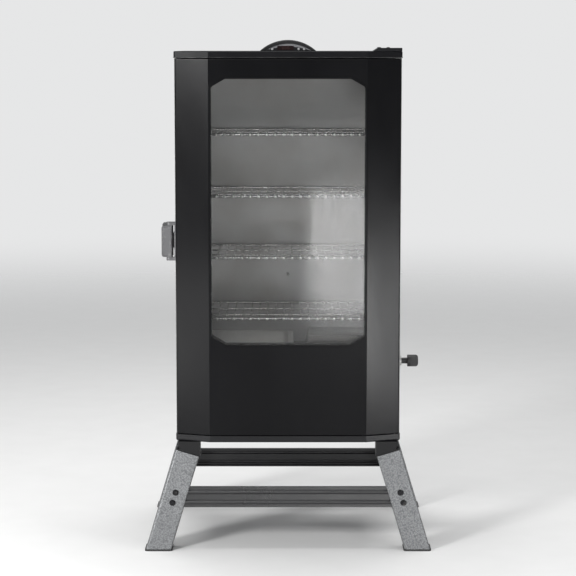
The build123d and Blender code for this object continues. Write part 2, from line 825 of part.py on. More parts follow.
def make_legs():
    """Each leg is a channel, open towards the middle of the stand, with its top cut square."""
    foot_x = leg_outer_x(foot_height)
    foot_y = leg_face_y(foot_height)
    slant = math.sqrt(1 + splay_x**2 + splay_y**2)
    for corner, (side, end) in corners.items():
        with BuildPart() as leg:
            with BuildSketch(Plane.XY.offset(foot_height)) as section:
                with Locations((side * (foot_x - leg_width / 2), end * (foot_y - leg_depth / 2))):
                    Rectangle(leg_width, leg_depth)
                fillet(section.vertices().group_by(Axis.Y)[-1 if end > 0 else 0], 6)
                with Locations((side * (foot_x - leg_width / 2), end * (foot_y - leg_depth / 2 - 3))):
                    Rectangle(leg_width - 2 * leg_sheet, leg_depth - 2 * leg_sheet + 6, mode=Mode.SUBTRACT)
            extrude(amount=260 * slant, dir=(-side * splay_x, -end * splay_y, 1))
            top = (side * leg_top_x, 0, leg_top_z)
            split(bisect_by=Plane(origin=top, z_dir=(-side * splay_x, 0, 1)), keep=Keep.BOTTOM)
            half_slot = crossbar_height / 2 + 1
            slot = ((0, -half_slot), (20, -half_slot), (20, half_slot), (0, half_slot))
            slot_points = [behind_face(end, depth, crossbar_z + rise) for depth, rise in slot]
            with BuildSketch(Plane.YZ.offset(side * 236)):
                with BuildLine():
                    Polyline(*slot_points, close=True)
                make_face()
            extrude(amount=side * 34, mode=Mode.SUBTRACT)
            for z in bolt_heights:
                with Locations(leg_face_plane(side, end, z)):
                    Cylinder(3.3, 10, mode=Mode.SUBTRACT)
        finish(leg, f"leg_{corner}")


def make_crossbars():
    """Rolled channels with two round ribs, parallel to the faces of the legs they join."""
    half = crossbar_height / 2
    rib = 6
    rib_shift = 12.5
    flange = 14
    low, high = crossbar_z - half, crossbar_z + half
    outline = ((4, low), (flange, low), (flange, high), (4, high))
    hollow = ((rib, low + 2), (flange + 1, low + 2), (flange + 1, high - 2), (rib, high - 2))
    with BuildPart() as crossbars:
        for end in (-1, 1):
            with BuildSketch(Plane.YZ):
                with BuildLine():
                    Polyline(*(behind_face(end, depth, z) for depth, z in outline), close=True)
                make_face()
                for shift in (-rib_shift, rib_shift):
                    with Locations(behind_face(end, rib + 0.2, crossbar_z + shift)):
                        Circle(rib)
                with BuildLine():
                    Polyline(*(behind_face(end, depth, z) for depth, z in hollow), close=True)
                make_face(mode=Mode.SUBTRACT)
                for shift in (-rib_shift, rib_shift):
                    with Locations(behind_face(end, rib + 0.2, crossbar_z + shift)):
                        Circle(rib - 1.8, mode=Mode.SUBTRACT)
            extrude(amount=300, both=True)
        for side, end in corners.values():
            for z in bolt_heights:
                with Locations(leg_face_plane(side, end, z)):
                    Cylinder(3.3, 30, mode=Mode.SUBTRACT)
    finish(crossbars, "crossbars")


def make_leg_bolts():
    """Two bolts with nuts hold each end of each crossbar to its leg."""
    with BuildPart() as leg_bolts:
        for side, end in corners.values():
            for z in bolt_heights:
                with BuildSketch(leg_face_plane(side, end, z)):
                    Circle(7.5)
                extrude(amount=2)
                with BuildSketch(leg_face_plane(side, end, z).offset(2)):
                    Circle(5.5)
                extrude(amount=3, taper=18)
                with BuildSketch(leg_face_plane(side, end, z)):
                    Circle(3)
                extrude(amount=-20)
                with BuildSketch(leg_face_plane(side, end, z).offset(-9.2)):
                    RegularPolygon(5.6, 6)
                extrude(amount=-5)
    finish(leg_bolts, "leg_bolts")


def make_corner_blocks():
    """Blocks under the cabinet's corners, each with a tongue that fits down inside a leg."""
    with BuildPart() as corner_blocks:
        for side, end in corners.values():
            with BuildSketch(Plane.XZ.offset(-end * 230)) as head:
                with BuildLine():
                    Polyline(
                        (side * 218, base_z), (side * 271, base_z), (side * 271, 258),
                        (side * 259, 244.2), (side * 218, 231.9), close=True,
                    )
                make_face()
                fillet(head.vertices().sort_by_distance((side * 271, 258))[0], 12)
            extrude(amount=end * 50)
            with BuildSketch(Plane.XZ.offset(-end * 228)):
                with BuildLine():
                    Polyline(
                        (side * 227, 236), (side * 259, 245), (side * 277, 186),
                        (side * 241, 186), close=True,
                    )
                make_face()
            extrude(amount=end * 44)
    finish(corner_blocks, "corner_blocks")


def make_foot_pads():
    foot_x = leg_outer_x(foot_height) - leg_width / 2
    foot_y = leg_face_y(foot_height) - leg_depth / 2
    with BuildPart() as foot_pads:
        for side, end in corners.values():
            with BuildSketch():
                with Locations((side * foot_x, end * foot_y)):
                    RectangleRounded(leg_width + 4, leg_depth + 4, 7)
            extrude(amount=foot_height)
    finish(foot_pads, "foot_pads")


def make_panel_screws():
    """Pan-head screws: rear panel, loader flange, latch keeper and element cover."""
    head = 4.2
    rise = 2
    rear_face = body_rear + 1.2
    rear = [(x, z) for x in (-262, 262) for z in (320, 492, 664, 836, 1008, 1180)]
    rear += [(x, z) for z in (300, 1200) for x in (-150, 0, 150)]
    with BuildPart() as panel_screws:
        for x, z in rear:
            bar("y", (x, rear_face + rise / 2, z), rise, head)
        for x in (57, 223):
            for z in (340, 396):
                bar("y", (x, rear_face + 1.2 + rise / 2, z), rise, head)
        for turn in (90, 210, 330):
            y = loader_y + 43 * math.cos(math.radians(turn))
            z = loader_z + 43 * math.sin(math.radians(turn))
            bar("x", (280 + rise / 2, y, z), rise, head)
        for z in (750, 783):
            bar("x", (-half_width - 3 - rise / 2, -156, z), rise, head)
    finish(panel_screws, "panel_screws")


make_base_pan()
make_top_cap()
make_side_panels()
make_rear_panel()
make_face_frame()
make_liner()
make_wall_insulation()
make_rack_rails()
make_racks()
make_pans()
make_chip_housing()
make_heating_element()
make_temperature_probe()
make_loader_sleeve()
make_loader_cover()
make_loader_cup()
make_element_cover()
make_power_inlet()
make_grease_rails()
make_vent()
make_control_pod()
make_door_skin()
make_door_liner()
make_door_insulation()
make_door_seal()
make_window()
make_hinges()
make_latch()
make_legs()
make_crossbars()
make_leg_bolts()
make_corner_blocks()
make_foot_pads()
make_panel_screws()
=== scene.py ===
# %% [markdown]
# # An electric cabinet smoker
# A tall insulated cabinet on a stand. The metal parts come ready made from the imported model, and this
# lesson gives them their finishes, adds the small work that a maker adds last, and lights the result.
# The first cell loads the model. Every later piece takes its place from it.

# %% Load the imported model
import json
import math
import bmesh
import bpy
from mathutils import Matrix, Vector


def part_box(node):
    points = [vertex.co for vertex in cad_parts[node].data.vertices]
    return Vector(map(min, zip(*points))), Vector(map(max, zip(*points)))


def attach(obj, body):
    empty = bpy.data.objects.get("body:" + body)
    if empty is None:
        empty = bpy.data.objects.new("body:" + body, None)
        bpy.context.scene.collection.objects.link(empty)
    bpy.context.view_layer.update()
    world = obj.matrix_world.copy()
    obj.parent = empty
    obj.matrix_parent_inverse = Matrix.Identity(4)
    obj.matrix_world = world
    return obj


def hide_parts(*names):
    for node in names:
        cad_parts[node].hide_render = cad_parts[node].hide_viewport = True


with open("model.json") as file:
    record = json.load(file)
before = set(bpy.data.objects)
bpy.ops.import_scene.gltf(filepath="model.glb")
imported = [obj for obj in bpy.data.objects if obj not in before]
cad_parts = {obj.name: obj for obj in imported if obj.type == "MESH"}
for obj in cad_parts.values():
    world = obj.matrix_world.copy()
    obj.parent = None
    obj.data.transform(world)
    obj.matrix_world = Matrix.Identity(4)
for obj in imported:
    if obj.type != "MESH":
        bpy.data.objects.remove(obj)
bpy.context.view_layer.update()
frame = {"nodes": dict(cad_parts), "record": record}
scene = bpy.context.scene

# %% [markdown]
# ## Camera
# The smoker is looked at straight from the front, from about a standing adult's chest height and some
# way off, so its sides stay nearly parallel. A long lens keeps that look while it fills the frame.

# %% Place the camera
camera = bpy.data.objects.new("camera", bpy.data.cameras.new("camera"))
scene.collection.objects.link(camera)
camera.location = (0.0, -4.94, 1.24)
aim = Vector((0.0, 0.0, 0.625))
camera.rotation_euler = (aim - camera.location).to_track_quat("-Z", "Y").to_euler()
camera.data.lens = 121
scene.camera = camera
print("camera is", round((aim - camera.location).length, 2), "m away")

# %% [markdown]
# ## Helpers for node trees
# A finish and a Geometry Nodes tree are both graphs of nodes. One helper adds a node, sets its plain
# values and links the sockets it is given, so the cells below read like a list of what feeds what.

# %% One node at a time
def node(tree, kind, inputs=None, **settings):
    made = tree.nodes.new(kind)
    for name, value in settings.items():
        setattr(made, name, value)
    for name, value in (inputs or {}).items():
        if isinstance(value, bpy.types.NodeSocket):
            tree.links.new(value, made.inputs[name])
        else:
            made.inputs[name].default_value = value
    return made


def math_of(tree, operation, first, second=0.0):
    return node(tree, "ShaderNodeMath", {0: first, 1: second}, operation=operation).outputs[0]


print("node helpers ready")

# %% Patterns measured in metres
def place(tree, stretch=(1.0, 1.0, 1.0)):
    where = node(tree, "ShaderNodeTexCoord").outputs["Object"]
    return node(tree, "ShaderNodeMapping", {"Vector": where, "Scale": stretch}).outputs[0]


def noise(tree, where, scale, detail=3.0, roughness=0.55):
    values = {"Vector": where, "Scale": scale, "Detail": detail, "Roughness": roughness}
    return node(tree, "ShaderNodeTexNoise", values).outputs[0]


def spread(tree, value, low, high, out_low, out_high):
    values = {"Value": value, "From Min": low, "From Max": high, "To Min": out_low, "To Max": out_high}
    return node(tree, "ShaderNodeMapRange", values).outputs[0]


def blend_colours(tree, amount, first, second):
    mixer = node(tree, "ShaderNodeMix", data_type="RGBA")
    for socket, value in ((mixer.inputs[0], amount), (mixer.inputs[6], first), (mixer.inputs[7], second)):
        if isinstance(value, bpy.types.NodeSocket):
            tree.links.new(value, socket)
        else:
            socket.default_value = value if isinstance(value, float) else (*value, 1.0)
    return mixer.outputs[2]


def shade(tint, factor):
    return tuple(min(1.0, part * factor) for part in tint)


def spot_of(tree):
    where = node(tree, "ShaderNodeTexCoord").outputs["Object"]
    return node(tree, "ShaderNodeSeparateXYZ", {0: where}).outputs


print("pattern helpers ready")

# %% [markdown]
# ## Starting a finish
# Each finish is one Principled shader. Numbers that are the same all over are set on the shader itself.
# What varies over the surface, such as colour, roughness and fine relief, is fed in by patterns.

# %% An empty finish
def new_finish(name, **plain):
    material = bpy.data.materials.new(name)
    material.use_nodes = True
    tree = material.node_tree
    shader = tree.nodes["Principled BSDF"]
    for label, value in plain.items():
        shader.inputs[label.replace("_", " ")].default_value = value
    return material, tree, shader


def feed(tree, shader, colour=None, roughness=None, relief=None, depth=0.0003, strength=0.4):
    if colour is not None:
        tree.links.new(colour, shader.inputs["Base Color"])
    if roughness is not None:
        tree.links.new(roughness, shader.inputs["Roughness"])
    if relief is not None:
        bump = node(tree, "ShaderNodeBump", {"Height": relief, "Strength": strength, "Distance": depth})
        tree.links.new(bump.outputs[0], shader.inputs["Normal"])


print("finish helpers ready")

# %% [markdown]
# ## Black powder coat
# The cabinet and door are sheet steel with a baked black powder. It has a fine orange-peel relief about
# a millimetre across, slow changes in gloss where it has been wiped, and a little pale dust. A scanned
# texture could carry all of it, but layered noise has no seams and keeps its true size on every panel.

# %% Powder coat for the cabinet
def powder_coat(name, tint, gloss, dust, shine_level=0.5):
    material, tree, shader = new_finish(name, IOR=1.5, Specular_IOR_Level=shine_level)
    here = place(tree)
    wiped = noise(tree, place(tree, (1.0, 1.0, 0.35)), 7.0, 4.0)
    peel = noise(tree, here, 620.0, 2.0)
    speck = spread(tree, noise(tree, here, 240.0, 5.0, 0.7), 0.62, 0.78, 0.0, dust)
    dark = blend_colours(tree, wiped, shade(tint, 0.7), shade(tint, 1.3))
    colour = blend_colours(tree, speck, dark, (0.22, 0.21, 0.19))
    wiped_shine = spread(tree, wiped, 0.3, 0.7, gloss - 0.05, gloss + 0.07)
    shine = math_of(tree, "ADD", wiped_shine, math_of(tree, "MULTIPLY", speck, 0.4))
    feed(tree, shader, colour, shine, peel, 0.00025, 0.35)
    return material


cabinet_black = powder_coat("cabinet_black", (0.007, 0.007, 0.008), gloss=0.32, dust=0.05, shine_level=0.22)
door_black = powder_coat("door_black", (0.0042, 0.0042, 0.0048), gloss=0.20, dust=0.035, shine_level=0.10)
top_black = powder_coat("top_black", (0.005, 0.005, 0.006), gloss=0.34, dust=0.06, shine_level=0.11)
stand_black = powder_coat("stand_black", (0.010, 0.010, 0.011), gloss=0.30, dust=0.06, shine_level=0.75)
print("powder coats:", cabinet_black.name, door_black.name, top_black.name, stand_black.name)

# %% [markdown]
# ## Brushed stainless steel
# The lining is brushed in one direction. An anisotropic shader could bend its highlights, but needs a
# tangent on every face; noise stretched a few hundred times along one axis gives the strokes on any mesh,
# and the same strokes change the roughness a little. Smoke leaves a warm brown film in patches.

# %% Steel for the lining, pans and hood
def brushed(name, tint, film, film_amount, rough, stretch=(3.0, 3.0, 700.0), metallic=1.0):
    material, tree, shader = new_finish(name, Metallic=metallic)
    strokes = noise(tree, place(tree, stretch), 1.0, 4.0, 0.6)
    patches = noise(tree, place(tree), 6.0, 5.0, 0.6)
    cover = spread(tree, patches, 0.42, 0.75, 0.0, film_amount)
    bright = blend_colours(tree, strokes, shade(tint, 0.86), shade(tint, 1.1))
    colour = blend_colours(tree, cover, bright, film)
    stroke_shine = spread(tree, strokes, 0.3, 0.7, rough - 0.06, rough + 0.08)
    shine = math_of(tree, "ADD", stroke_shine, math_of(tree, "MULTIPLY", cover, 0.25))
    feed(tree, shader, colour, shine, strokes, 0.0001, 0.25)
    return material


stainless = brushed("stainless", (0.50, 0.50, 0.495), film=(0.30, 0.26, 0.21), film_amount=0.30, rough=0.46)
# Painted light: the pans are the lining's stainless made much lighter and partly non-metallic, standing in
# for light falling on them.
pan_steel_painted_light = brushed("pan_steel_painted_light", (0.80, 0.795, 0.78), film=(0.50, 0.42, 0.31), film_amount=0.22, rough=0.38,
                    stretch=(260.0, 3.0, 3.0), metallic=0.75)
hood_steel = brushed("hood_steel", (0.13, 0.127, 0.122), film=(0.07, 0.05, 0.035), film_amount=0.6,
                     rough=0.42)
print("steels:", stainless.name, pan_steel_painted_light.name, hood_steel.name)

# %% [markdown]
# ## Galvanised steel
# Zinc crystals make flat spangles a centimetre or so across, each with its own brightness. Plain noise
# would blur them into clouds; a Voronoi pattern gives every cell one value, which is what a spangle is.

# %% Zinc spangle
spangles_per_metre = 110.0
galvanised, zinc_tree, zinc_shader = new_finish("galvanised", Metallic=1.0)
spangle = node(zinc_tree, "ShaderNodeTexVoronoi", {"Vector": place(zinc_tree), "Scale": spangles_per_metre})
spangle_tone = node(zinc_tree, "ShaderNodeSeparateColor", {0: spangle.outputs["Color"]}).outputs[0]
zinc_colour = blend_colours(zinc_tree, spangle_tone, (0.36, 0.37, 0.38), (0.58, 0.59, 0.60))
feed(zinc_tree, zinc_shader, zinc_colour, spread(zinc_tree, spangle_tone, 0.0, 1.0, 0.32, 0.5),
     noise(zinc_tree, place(zinc_tree), 400.0), 0.0001, 0.3)
print("spangle cells per metre:", spangles_per_metre)

# %% [markdown]
# ## Chrome wire
# Racks are plated wire. Grease bakes on in freckles, so the roughness rises there and the colour turns a thin
# brown.
# The noses in front of the border rod are coloured near white: a painted highlight for the glint on each
# wire's end.
# They are found by their distance to the front, which needs no second finish.

# %% Plated wire
chrome_wire, wire_tree, wire_shader = new_finish("chrome_wire", Metallic=1.0)
rack_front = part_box("rack_1")[0].y
# Painted highlight: the noses are coloured near white to stand in for the glint on each wire's end.
nose_painted_highlight = spread(wire_tree, spot_of(wire_tree)["Y"], rack_front + 0.0002, rack_front - 0.0006, 0.0, 1.0)
baked = spread(wire_tree, noise(wire_tree, place(wire_tree), 90.0, 4.0, 0.65), 0.52, 0.7, 0.0, 0.55)
rod_colour = blend_colours(wire_tree, baked, (0.46, 0.46, 0.455), (0.26, 0.22, 0.17))
rod_shine = spread(wire_tree, baked, 0.0, 0.55, 0.22, 0.45)
feed(wire_tree, wire_shader, blend_colours(wire_tree, nose_painted_highlight, rod_colour, (0.97, 0.97, 0.96)),
     math_of(wire_tree, "ADD", rod_shine, math_of(wire_tree, "MULTIPLY", nose_painted_highlight, 0.18)),
     noise(wire_tree, place(wire_tree), 900.0), 0.00005, 0.3)
print("noses shine in front of y =", round(rack_front, 4))

# %% [markdown]
# ## Hammered paint
# The legs are painted with a grey hammer finish: round shallow dimples a few millimetres across, with
# darker paint gathered at their edges. Real dents in the mesh would need millions of faces, so Voronoi
# distances stand in for them, used both as relief and as tone.

# %% Hammer finish for the legs
dimples_per_metre = 290.0
hammered, hammer_tree, hammer_shader = new_finish("hammered_grey", Metallic=0.35, IOR=1.5)
dimple = node(hammer_tree, "ShaderNodeTexVoronoi", {
    "Vector": place(hammer_tree), "Scale": dimples_per_metre, "Smoothness": 0.6}, feature="SMOOTH_F1")
dimple_edge = spread(hammer_tree, dimple.outputs[0], 0.1, 0.75, 0.0, 1.0)
paint_drift = noise(hammer_tree, place(hammer_tree), 18.0, 3.0)
light_paint = blend_colours(hammer_tree, paint_drift, (0.19, 0.195, 0.20), (0.26, 0.265, 0.27))
feed(hammer_tree, hammer_shader, blend_colours(hammer_tree, dimple_edge, light_paint, (0.11, 0.113, 0.117)),
     spread(hammer_tree, dimple_edge, 0.0, 1.0, 0.30, 0.48),
     math_of(hammer_tree, "SUBTRACT", 1.0, dimple_edge), 0.0007, 0.7)
print("dimples about", round(1000 / dimples_per_metre, 1), "mm across")

# %% [markdown]
# ## Small metals
# The latch is plain grey steel with fine scratches, the bolts and hinge brackets are blackened, and the
# heating rod has a dark oxide skin that lightens in bands where it gets hottest. One recipe serves them
# all: the direction in which its noise is stretched decides whether it reads as scratches or as bands.

# %% Latch, bolts and heating rod
def worn_steel(name, tint, light, rough, scratch=(40.0, 600.0, 40.0), metallic=0.9):
    material, tree, shader = new_finish(name, Metallic=metallic)
    marks = noise(tree, place(tree, scratch), 1.0, 4.0, 0.65)
    rubbed = spread(tree, noise(tree, place(tree), 60.0, 4.0, 0.6), 0.5, 0.72, 0.0, 0.8)
    ground = blend_colours(tree, marks, shade(tint, 0.8), tint)
    shine = spread(tree, marks, 0.25, 0.75, rough - 0.07, rough + 0.1)
    feed(tree, shader, blend_colours(tree, rubbed, ground, light), shine, marks, 0.00008, 0.4)
    return material


latch_grey = worn_steel("latch_grey", (0.13, 0.13, 0.135), light=(0.20, 0.20, 0.20), rough=0.46, metallic=0.6)
black_steel = worn_steel("black_steel", (0.022, 0.022, 0.024), light=(0.07, 0.068, 0.065), rough=0.40)
element_steel = worn_steel("element_steel", (0.085, 0.08, 0.075), light=(0.20, 0.17, 0.15), rough=0.55,
                           scratch=(300.0, 8.0, 8.0))
pin_steel = worn_steel("pin_steel", (0.5, 0.5, 0.5), light=(0.62, 0.61, 0.6), rough=0.25,
                       scratch=(600.0, 600.0, 20.0))
print("small metals:", latch_grey.name, black_steel.name, element_steel.name, pin_steel.name)

# %% [markdown]
# ## Moulded plastics and rubber
# Moulded parts take their texture from a spark-etched mould: an even fine grain. Rubber is rougher and
# greyer. Each could have its own tree, but one recipe with different numbers covers them.

# %% Grained plastics
def grained(name, tint, rough, grain, depth, lift=1.5, shine_level=0.5):
    material, tree, shader = new_finish(name, IOR=1.46, Specular_IOR_Level=shine_level)
    pits = noise(tree, place(tree), grain, 3.0, 0.6)
    drift = noise(tree, place(tree), 22.0, 3.0)
    colour = blend_colours(tree, drift, tint, shade(tint, lift))
    feed(tree, shader, colour, spread(tree, drift, 0.3, 0.7, rough - 0.06, rough + 0.08), pits, depth, 0.5)
    return material


black_plastic = grained("black_plastic", (0.005, 0.005, 0.0055), rough=0.50, grain=1500.0, depth=0.00012,
                        shine_level=0.28)
display_red = grained("display_red", (0.006, 0.001, 0.001), rough=0.10, grain=200.0, depth=0.00001, lift=2.0)
button_grey = grained("button_grey", (0.30, 0.30, 0.31), rough=0.55, grain=1200.0, depth=0.0001, lift=1.2)
seal_rubber = grained("seal_rubber", (0.022, 0.022, 0.022), rough=0.72, grain=900.0, depth=0.0002)
foot_rubber = grained("foot_rubber", (0.018, 0.018, 0.018), rough=0.80, grain=500.0, depth=0.0004)
socket_plastic = grained("socket_plastic", (0.012, 0.012, 0.013), rough=0.42, grain=1100.0, depth=0.0001)
print("plastics:", black_plastic.name, display_red.name, button_grey.name, socket_plastic.name)
print("rubbers:", seal_rubber.name, foot_rubber.name)

# %% [markdown]
# ## The pod's face
# Behind the arch is a gloss black face with a lighter silver-grey crescent along its top: a painted highlight
# standing in for the light caught along the arch's top edge. It could be a picture, but the crescent is just
# the part of the face that lies further from a low centre than one radius, so plain geometry draws it.

# %% Painted highlight crescent
face_low, face_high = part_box("control_fascia")
half_chord = (face_high.x - face_low.x) / 2
crescent_rise = (face_high.z - face_low.z) * 0.60
crescent_radius = (half_chord ** 2 + crescent_rise ** 2) / (2 * crescent_rise)
crescent_centre = face_low.z + crescent_rise - crescent_radius

fascia_painted_highlight, highlight_tree, highlight_shader = new_finish("fascia_painted_highlight", IOR=1.5)
spot = spot_of(highlight_tree)
rise_from = math_of(highlight_tree, "SUBTRACT", spot["Z"], crescent_centre)
across_squared = math_of(highlight_tree, "POWER", spot["X"], 2.0)
rise_squared = math_of(highlight_tree, "POWER", rise_from, 2.0)
distance = math_of(highlight_tree, "SQRT", math_of(highlight_tree, "ADD", across_squared, rise_squared))
crescent_highlight_mask = spread(highlight_tree, distance, crescent_radius, crescent_radius + 0.0003, 0.0, 1.0)
highlight_drift = noise(highlight_tree, place(highlight_tree), 160.0, 3.0)
# Painted highlight: the crescent is coloured a lighter silver-grey for light caught along the arch's top.
painted_highlight_colour = blend_colours(highlight_tree, highlight_drift, (0.16, 0.16, 0.17), (0.21, 0.21, 0.22))
feed(highlight_tree, highlight_shader, blend_colours(highlight_tree, crescent_highlight_mask, (0.006, 0.006, 0.007), painted_highlight_colour),
     spread(highlight_tree, crescent_highlight_mask, 0.0, 1.0, 0.15, 0.38), highlight_drift, 0.00002, 0.2)
print("crescent radius", round(crescent_radius, 4), "m")

# %% [markdown]
# ## Glass
# Two tempered panes, slightly grey. Light has to pass through them to reach the racks. Full refraction
# would be truer but leaves the inside noisy, so the panes are a thin clear film with a strong surface
# gloss, and faint wipe marks change how sharp that gloss is.

# %% Window glass
glass, glass_tree, glass_shader = new_finish("window_glass", IOR=1.9, Alpha=0.07, Specular_IOR_Level=1.0)
glass.surface_render_method = "BLENDED"
smears = noise(glass_tree, place(glass_tree, (1.0, 1.0, 0.4)), 14.0, 6.0, 0.65)
feed(glass_tree, glass_shader, blend_colours(glass_tree, smears, (0.012, 0.013, 0.013), (0.05, 0.05, 0.048)),
     spread(glass_tree, smears, 0.35, 0.75, 0.02, 0.16))
pane_low, pane_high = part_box("door_glass")
print("panes fill", [round(v, 3) for v in pane_high - pane_low], "m")

# %% [markdown]
# ## Hidden finishes
# The slabs of mineral wool and the circuit board are only seen when a maker takes the cabinet apart. Flat
# colours would do for that, but they get honest finishes too: layered fibres for the wool, and copper
# tracks under green varnish, for which a brick pattern is close enough.

# %% Wool and circuit board
mineral_wool, wool_tree, wool_shader = new_finish("mineral_wool", Sheen_Weight=0.3)
fibres = noise(wool_tree, place(wool_tree, (60.0, 60.0, 420.0)), 1.0, 6.0, 0.75)
feed(wool_tree, wool_shader, blend_colours(wool_tree, fibres, (0.36, 0.30, 0.17), (0.66, 0.58, 0.38)),
     spread(wool_tree, fibres, 0.3, 0.7, 0.8, 1.0), fibres, 0.0015, 0.8)

board_green, board_tree, board_shader = new_finish("board_green", IOR=1.5)
tracks = node(board_tree, "ShaderNodeTexBrick", {
    "Vector": place(board_tree), "Scale": 130.0, "Color1": (0.012, 0.10, 0.04, 1),
    "Color2": (0.02, 0.15, 0.06, 1), "Mortar": (0.10, 0.22, 0.08, 1), "Mortar Size": 0.03})
feed(board_tree, board_shader, tracks.outputs[0], spread(board_tree, tracks.outputs[1], 0.0, 1.0, 0.3, 0.45),
     tracks.outputs[1], 0.00003, 0.5)
print("hidden finishes ready")

# %% [markdown]
# ## The loader's scoop and knob
# The scoop is steel and its knob outside is black plastic, and the model has them as one piece. The knob
# starts where the thick end does, so one comparison along X changes the whole finish from one to the other.

# %% Steel scoop, plastic knob
cup_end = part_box("loader_cup")[1].x
knob_length = 0.0465
knob_start = cup_end - knob_length
scoop_finish, cup_tree, cup_shader = new_finish("scoop_and_knob")
is_knob = spread(cup_tree, spot_of(cup_tree)["X"], knob_start, knob_start + 0.0002, 0.0, 1.0)
scorch = noise(cup_tree, place(cup_tree, (8.0, 300.0, 300.0)), 1.0, 4.0)
steel_side = blend_colours(cup_tree, scorch, (0.52, 0.50, 0.47), (0.70, 0.69, 0.67))
feed(cup_tree, cup_shader, blend_colours(cup_tree, is_knob, steel_side, (0.016, 0.016, 0.017)),
     spread(cup_tree, is_knob, 0.0, 1.0, 0.32, 0.45), noise(cup_tree, place(cup_tree), 1200.0), 0.00008, 0.4)
cup_tree.links.new(math_of(cup_tree, "SUBTRACT", 1.0, is_knob), cup_shader.inputs["Metallic"])
print("knob starts at x =", round(knob_start, 4))

# %% [markdown]
# ## Dressing the imported pieces
# The record names a material slot for every piece. Sixty assignments could be written out one by one;
# most slots map straight to one finish, so two short tables do it, the second for the few pieces that
# need their own, such as the door's glossier skin or the pans, whose lighter steel is painted light.

# %% Give every imported piece its finish
slot_finish = {
    "cabinet_black": cabinet_black, "top_black": top_black, "stainless": stainless,
    "stainless_dark": hood_steel, "galvanised": galvanised, "chrome_wire": chrome_wire,
    "hammered_grey": hammered, "latch_grey": latch_grey, "black_plastic": black_plastic,
    "gloss_black": fascia_painted_highlight, "display_red": display_red, "button_grey": button_grey,
    "board_green": board_green, "glass": glass, "seal_rubber": seal_rubber,
    "foot_rubber": foot_rubber, "mineral_wool": mineral_wool, "black_steel": black_steel,
    "element_steel": element_steel,
}
own_finish = {
    "door_skin": door_black, "window_frame": door_black, "crossbars": stand_black,
    "water_pan": pan_steel_painted_light, "drip_pan": pan_steel_painted_light, "loader_cup": scoop_finish,
    "hinge_pins": pin_steel, "power_inlet": socket_plastic,
}
slot_of = {entry["node"]: entry["material_slot"] for entry in frame["record"]["subparts"]}
for name, piece in frame["nodes"].items():
    finish = own_finish.get(name) or slot_finish[slot_of[name]]
    piece.data.materials.clear()
    piece.data.materials.append(finish)
print("dressed", len(frame["nodes"]), "pieces")

# %% [markdown]
# ## Helpers for Geometry Nodes
# Things that repeat, such as rack wires and screws, are grown by Geometry Nodes. One helper makes a tree
# with named inputs, one closes it, and one runs it once on a few start points and keeps the result as a
# plain mesh. Arrays of copied objects could do the same, but then no single number would change a row.

# %% Make and run a tree
SOCKETS = {float: "NodeSocketFloat", int: "NodeSocketInt", bpy.types.Material: "NodeSocketMaterial",
           bpy.types.Object: "NodeSocketObject"}


def new_tree(name, inputs):
    tree = bpy.data.node_groups.new(name, "GeometryNodeTree")
    tree.interface.new_socket("Geometry", in_out="INPUT", socket_type="NodeSocketGeometry")
    for label, kind in inputs.items():
        tree.interface.new_socket(label, in_out="INPUT", socket_type=SOCKETS[kind])
    tree.interface.new_socket("Geometry", in_out="OUTPUT", socket_type="NodeSocketGeometry")
    return tree, node(tree, "NodeGroupInput"), node(tree, "NodeGroupOutput")


def close_tree(tree, made, parts, material):
    joined = node(tree, "GeometryNodeJoinGeometry")
    for part in parts:
        tree.links.new(part, joined.inputs[0])
    real = node(tree, "GeometryNodeRealizeInstances", {"Geometry": joined.outputs[0]})
    smooth = node(tree, "GeometryNodeSetShadeSmooth", {0: real.outputs[0]})
    finish = node(tree, "GeometryNodeSetMaterial", {"Geometry": smooth.outputs[0], "Material": material})
    tree.links.new(finish.outputs[0], made.inputs[0])


def grow(name, tree, settings, corners=(), facings=(), edges=()):
    start = bpy.data.meshes.new(name + "_start")
    start.from_pydata(corners, edges, [])
    if facings:
        stored = start.attributes.new("facing", "FLOAT_VECTOR", "POINT")
        stored.data.foreach_set("vector", [part for facing in facings for part in facing])
    host = bpy.data.objects.new(name, start)
    scene.collection.objects.link(host)
    modifier = host.modifiers.new("grow", "NODES")
    modifier.node_group = tree
    for item in tree.interface.items_tree:
        if item.in_out == "INPUT" and item.name in settings:
            modifier[item.identifier] = settings[item.name]
    bpy.context.view_layer.update()
    graph = bpy.context.evaluated_depsgraph_get()
    result = bpy.data.meshes.new_from_object(host.evaluated_get(graph), depsgraph=graph)
    host.modifiers.remove(modifier)
    host.data = result
    if not result.materials:
        result.materials.append(settings["Finish"])
    print(name, "has", len(result.polygons), "faces")
    return host


def settle(piece, body, slot, *stands_for):
    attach(piece, body)
    if stands_for:
        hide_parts(*stands_for)


print("geometry helpers ready")

# %% [markdown]
# ## Helpers for shapes drawn by hand
# A few small shapes, such as a screw head, are drawn once, ring by ring. They could be cut from ready
# solids with modifiers, but a list of rings is shorter and always closes. One helper walls two rings
# together and another turns the drawing into a piece with its faces turned outwards.

# %% Rings to pieces
def bridge(shape, lower, upper):
    for i in range(len(lower)):
        after = (i + 1) % len(lower)
        shape.faces.new((lower[i], lower[after], upper[after], upper[i]))


def as_piece(shape, name, finish):
    bmesh.ops.recalc_face_normals(shape, faces=shape.faces)
    mesh = bpy.data.meshes.new(name)
    shape.to_mesh(mesh)
    shape.free()
    mesh.materials.append(finish)
    return bpy.data.objects.new(name, mesh)


print("shape helpers ready")

# %% [markdown]
# ## Wire racks
# Each rack is a bent border rod, a row of wires from front to back, two rods that carry them, a small
# resistance weld at each wire's back end and the wire's own rounded nose in front of the border rod. They
# could be modelled wire by wire; all four racks are one tree run four times at different heights, so one
# change of pitch reaches every wire.

